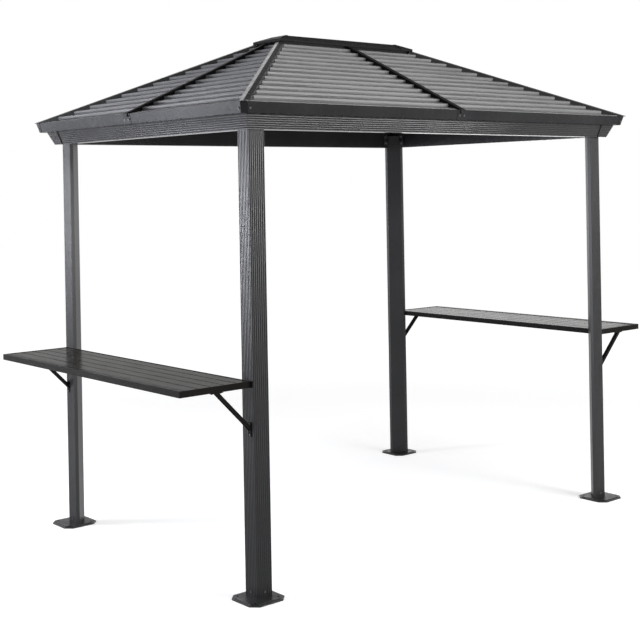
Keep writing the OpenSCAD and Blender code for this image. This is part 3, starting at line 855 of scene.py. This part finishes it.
@dataclass
class Roof:
    """The stepped sheets, the hip and rib caps, the rafters and the ridge cap."""

    seal_half_length: float = 0.427
    seal_half_width: float = 0.092
    seal_t: float = 0.004
    seal_low: float = 2.304
    seal_high: float = 2.334

    def dress(self, nodes: Parts, finishes: Finishes) -> None:
        """Coat the sheets, caps, rafters and ridge.

        Args:
            nodes: the frame's nodes.
            finishes: the object's materials.
        """
        paint(nodes, ["front_roof_sheets", "back_roof_sheets"], finishes.long_sheet)
        # The end slopes get the darker copy of the sheet coat, a painted shade.
        paint(nodes, ["left_roof_sheets", "right_roof_sheets"], finishes.end_sheet_shaded)
        bars = ["hip_rafters", "middle_rafters", "ridge_beam"]
        paint(nodes, [*each(Corner, "hip_cap"), *bars], finishes.cap_coat)
        paint(nodes, ["rib_caps", "ridge_cap", "ridge_end_caps"], finishes.ridge_coat)

    def seal(self) -> bpy.types.Mesh:
        """Build the strip that closes the gap under the ridge cap, a ring set back from its edge.

        Returns:
            The strip's mesh.
        """
        points = []
        for inset in (0.0, self.seal_t):
            half_x = self.seal_half_length - inset
            half_y = self.seal_half_width - inset
            for z in (self.seal_low, self.seal_high):
                points += [(x * half_x, y * half_y, z) for x, y in RECTANGLE]
        out_low, out_high, in_low, in_high = range(0, len(points), len(RECTANGLE))
        faces = []
        for i in range(len(RECTANGLE)):
            j = (i + 1) % len(RECTANGLE)
            faces.append((out_low + i, out_low + j, out_high + j, out_high + i))
            faces.append((in_low + j, in_low + i, in_high + i, in_high + j))
            faces.append((out_high + i, out_high + j, in_high + j, in_high + i))
            faces.append((out_low + j, out_low + i, in_low + i, in_low + j))
        mesh = bpy.data.meshes.new("ridge_closure_strip")
        mesh.from_pydata(points, [], faces)
        return mesh

    def build(self, heads: FixingTree, finishes: Finishes) -> None:
        """Add the closure strip.

        Args:
            heads: not used here, because the caps and sheets are clipped and show no fixings.
            finishes: the object's materials.
        """
        mesh = self.seal()
        mesh.materials.append(finishes.ridge_coat)
        strip = add_object(mesh.name, mesh)
        seat(strip)
        LOG.info("%s", strip.name)


@dataclass
class Shelves(PostBay):
    """The two slatted shelves with their struts."""

    under_z: float = 0.839
    strut_in: float = 0.024
    strut_out: float = 0.166
    tab_t: float = 0.003
    bolt_step: float = 0.021

    def dress(self, nodes: Parts, finishes: Finishes) -> None:
        """Coat the frames and struts, and the slats in their own finish.

        Args:
            nodes: the frame's nodes.
            finishes: the object's materials.
        """
        for end in ("left", "right"):
            paint(nodes, [f"{end}_shelf_frame", f"{end}_shelf_struts"], finishes.shelf_coat)
            paint(nodes, [f"{end}_shelf_slats"], finishes.slat)

    def strut_bolts(self) -> list[Fixing]:
        """List the bolts on the struts' plates, two on each.

        Returns:
            The bolts.
        """
        bolts = []
        foot_z = self.under_z - self.strut_out
        for corner in Corner:
            x, y = corner.value
            strut_y = y * (self.half_width - self.strut_in)
            for step in (-self.bolt_step, self.bolt_step):
                out = self.half_length + self.strut_out - self.tab_t + step
                low = (x * (self.half_length + self.tab_t), strut_y, foot_z + step)
                high = (x * out, strut_y, self.under_z - self.tab_t)
                bolts.append(Fixing(low, (x, 0, 0)))
                bolts.append(Fixing(high, (0, 0, -1)))
        return bolts

    def build(self, heads: FixingTree, finishes: Finishes) -> None:
        """Add the bolts of the struts."""
        heads.fit("strut_bolts", self.strut_bolts(), HeadForm.PAN_SCREW, finishes.screw)


@dataclass(frozen=True)
class Lamp:
    """A soft box: where it stands, what it faces, its size and its power."""

    name: str
    at: Triple
    towards: Triple
    width: float
    height: float
    power: float
    color: Triple = PLAIN_LIGHT

    def build(self) -> None:
        """Add the lamp, unseen by the camera."""
        data = bpy.data.lights.new(self.name, "AREA")
        data.shape = "RECTANGLE"
        data.size = self.width
        data.size_y = self.height
        data.energy = self.power
        data.color = self.color
        lamp = add_object(self.name, data)
        way = Vector(self.towards) - Vector(self.at)
        turn = way.to_track_quat("-Z", "Y").to_matrix().to_4x4()
        lamp.matrix_world = Matrix.Translation(Vector(self.at)) @ turn
        lamp.visible_camera = False
        LOG.info("%s: %.0f W", self.name, self.power)


@dataclass
class Studio:
    """White floor, white surroundings and soft boxes."""

    floor_half: float = 30.0
    floor_white: Color = grey(0.62, 0.62)
    floor_glow: Span = (0.50, 0.72)
    glow_reach: Span = (3.0, 6.0)
    fill: float = 0.45
    ceiling: float = 0.10
    ceiling_from: Span = (0.30, 0.55)
    lamps: tuple[Lamp, ...] = (
        Lamp("left_box", (-3.7, 2.8, 1.55), (-1.1, -0.8, 1.55), 1.2, 0.9, 170.0, COOL_LIGHT),
        Lamp("left_low_box", (-3.7, 2.9, 0.75), (-1.1, -0.6, 1.3), 1.2, 0.5, 42.0, COOL_LIGHT),
        Lamp("side_box", (-4.8, -0.7, 1.5), (-1.1, -0.7, 1.5), 1.0, 1.4, 34.0, COOL_LIGHT),
        Lamp("back_box", (-3.4, 5.3, 1.6), (-1.1, 0.7, 1.6), 1.2, 0.7, 56.0, COOL_LIGHT),
        Lamp("back_low_box", (-3.4, 5.3, 1.0), (-1.1, 0.7, 1.3), 1.2, 0.5, 9.0, COOL_LIGHT),
        Lamp("back_high_box", (2.75, 5.7, 5.2), (-1.0, -0.65, 2.1), 1.8, 1.2, 6.0),
        Lamp("right_back_box", (5.8, 3.9, 1.5), (1.3, 0.0, 0.9), 2.4, 1.2, 12.0),
        Lamp("top_box", (0.0, 0.0, 6.0), (0.0, 0.0, 2.0), 2.0, 2.0, 45.0),
        Lamp("front_box", (1.4, -4.3, 1.5), (-1.0, -0.8, 1.6), 1.3, 0.8, 66.0),
        Lamp("front_low_box", (1.1, -4.3, 0.75), (-1.0, -0.8, 1.0), 1.2, 0.6, 8.0),
        Lamp("front_strip", (2.3, -4.2, 2.15), (-0.2, -0.8, 1.9), 2.4, 0.24, 78.0),
        Lamp("front_roof_box", (0.9, -4.5, 2.7), (-0.5, -0.6, 2.2), 1.6, 0.6, 80.0),
        Lamp("right_box", (4.4, -3.2, 1.7), (1.1, -0.8, 1.7), 1.2, 1.0, 12.0),
    )

    @staticmethod
    def _seen(tree: NodeMaker) -> Socket:
        """Add a test for the rays that show the surroundings.

        Args:
            tree: the tree to add to.

        Returns:
            1 for camera, glossy and transmission rays and 0 for others.
        """
        path = tree.node("ShaderNodeLightPath").outputs
        either = tree.combine("MAXIMUM", path["Is Camera Ray"], path["Is Glossy Ray"])
        return tree.combine("MAXIMUM", either, path["Is Transmission Ray"])

    def floor_finish(self) -> bpy.types.Material:
        """Build a floor that is white to the eye, with less glow near the object, so that its shadow shows.

        Returns:
            The floor's material.
        """
        material = bpy.data.materials.new("white_floor")
        material.use_nodes = True
        tree = NodeMaker(material.node_tree)
        place = tree.node("ShaderNodeTexCoord").outputs["Object"]
        distance = tree.node("ShaderNodeVectorMath", {0: place}, operation="LENGTH").outputs["Value"]
        glow = tree.spread(distance, self.floor_glow, self.glow_reach, Curve.SMOOTH)
        strength = tree.combine("MULTIPLY", self._seen(tree), glow)
        matt = tree.node("ShaderNodeBsdfDiffuse", {"Color": self.floor_white}).outputs[0]
        shine = tree.node("ShaderNodeEmission", {"Strength": strength}).outputs[0]
        both = tree.node("ShaderNodeAddShader", {0: matt, 1: shine}).outputs[0]
        tree.node("ShaderNodeOutputMaterial", {"Surface": both})
        return material

    def floor(self) -> None:
        """Add the floor."""
        mesh = bpy.data.meshes.new("floor")
        corners = [(x * self.floor_half, y * self.floor_half, 0.0) for x, y in RECTANGLE]
        mesh.from_pydata(corners, [], [tuple(range(len(corners)))])
        mesh.materials.append(self.floor_finish())
        add_object("floor", mesh)
        LOG.info("floor")

    def world(self) -> None:
        """Surround the scene with white under a dim ceiling, and with an even fill for diffuse light."""
        world = bpy.data.worlds.new("white_room")
        world.use_nodes = True
        tree = NodeMaker(world.node_tree)
        way = tree.node("ShaderNodeTexCoord").outputs["Generated"]
        height = tree.node("ShaderNodeSeparateXYZ", {0: way}).outputs["Z"]
        ceiling = tree.spread(height, (1.0, self.ceiling), self.ceiling_from, Curve.SMOOTH)
        shown = tree.node("ShaderNodeBackground", {"Color": WHITE, "Strength": ceiling}).outputs[0]
        light = tree.node("ShaderNodeBackground", {"Color": WHITE, "Strength": self.fill}).outputs[0]
        mix = tree.node("ShaderNodeMixShader", {0: self._seen(tree), 1: light, 2: shown}).outputs[0]
        tree.node("ShaderNodeOutputWorld", {"Surface": mix})
        bpy.context.scene.world = world
        LOG.info("surroundings")

    def build(self) -> None:
        """Add the floor, the surroundings and the lamps."""
        self.floor()
        self.world()
        for lamp in self.lamps:
            lamp.build()


@dataclass
class PhotoCamera:
    """The camera that took the photograph, with its angles in degrees."""

    at: Triple = (-3.961, -4.532, 1.624)
    yaw: float = 49.71
    pitch: float = -0.07
    roll: float = -1.02
    lens: float = 67.24
    sensor: float = 36.0
    shift_up: float = -0.2045
    far: float = 200.0

    def build(self) -> None:
        """Add the camera and make it the scene's own."""
        yaw, pitch, roll = (math.radians(angle) for angle in (self.yaw, self.pitch, self.roll))
        ahead = Vector((math.cos(yaw), math.sin(yaw), 0.0))
        forward = math.cos(pitch) * ahead + math.sin(pitch) * Vector((0.0, 0.0, 1.0))
        level = Vector((math.sin(yaw), -math.cos(yaw), 0.0))
        upright = level.cross(forward)
        right = math.cos(roll) * level + math.sin(roll) * upright
        up = right.cross(forward)
        data = bpy.data.cameras.new("camera")
        data.lens = self.lens
        data.sensor_width = self.sensor
        data.shift_y = self.shift_up
        data.clip_end = self.far
        camera = add_object("camera", data)
        axes = Matrix((right, up, -forward)).transposed().to_4x4()
        camera.matrix_world = Matrix.Translation(Vector(self.at)) @ axes
        bpy.context.scene.camera = camera
        LOG.info("camera")


def main() -> None:
    """Load the frame, dress it, fit it out and light it."""
    logging.basicConfig(level=logging.INFO, format="%(name)s: %(message)s")
    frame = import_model()
    bpy.context.scene.view_settings.view_transform = "Standard"
    finishes = Finishes.make()
    heads = FixingTree()
    for assembly in (PostSet(), BeamRing(), FasciaRing(), Roof(), Shelves()):
        assembly.dress(frame["nodes"], finishes)
        assembly.build(heads, finishes)
    Studio().build()
    PhotoCamera().build()


if __name__ == "__main__":
    main()
